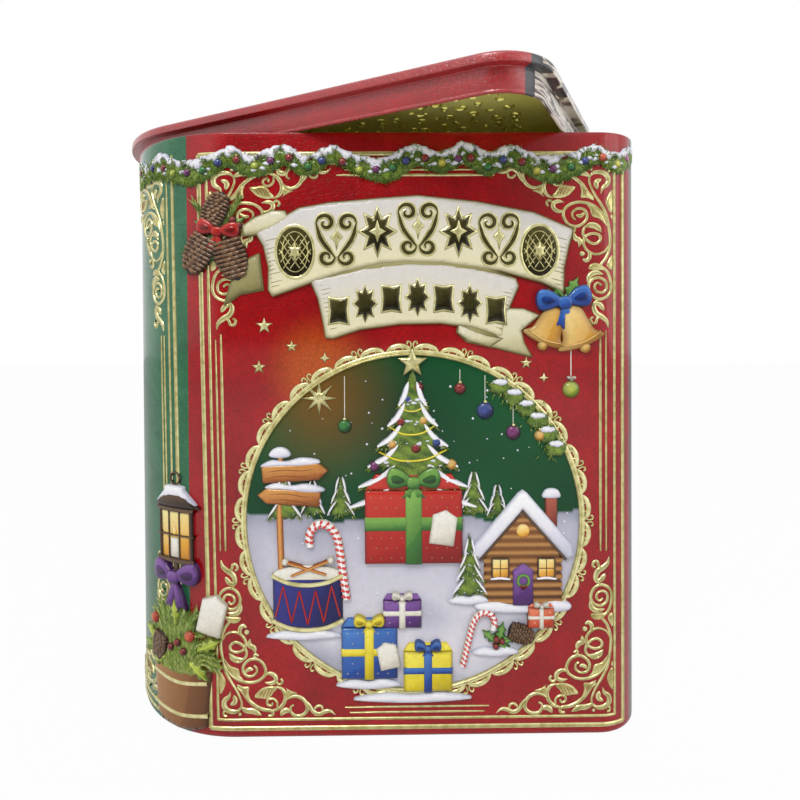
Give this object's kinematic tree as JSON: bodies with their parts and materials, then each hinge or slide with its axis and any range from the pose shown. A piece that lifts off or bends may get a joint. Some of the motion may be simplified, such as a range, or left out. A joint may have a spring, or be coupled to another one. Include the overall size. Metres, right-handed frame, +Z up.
{
  "type": "christmas cookie tin",
  "caption": "Tall book-shaped tin for cookies, with pressed relief, a rounded spine and a loose plug lid lying askew on its open top.",
  "frame": {"origin": "middle of the bottom plate's underside, below the middle of the tin's plan", "axes": "+Z up along the tin's height, front cover facing -Y, rounded spine at -X, fore-edge with the printed pages at +X"},
  "size_m": [0.1974, 0.1477, 0.2172],
  "materials": {
    "printed_tinplate": "glossy varnished print on pressed tinplate, mostly leather red, with green spine, gold relief and gold lacquer inside",
    "plain_tinplate": "bare rolled tinplate",
    "lid_tinplate": "glossy varnished print, red with page stripes, gold lacquer inside"
  },
  "bodies": {
    "tin": {"tin_wall": "printed_tinplate", "tin_bottom": "plain_tinplate"},
    "lid": {"lid": "lid_tinplate"}
  },
  "joints": [
    {"name": "lid_lift", "type": "slide", "parent": "tin", "child": "lid", "axis": [0, 0, 1], "range_m": [0, 0.08]}
  ]
}
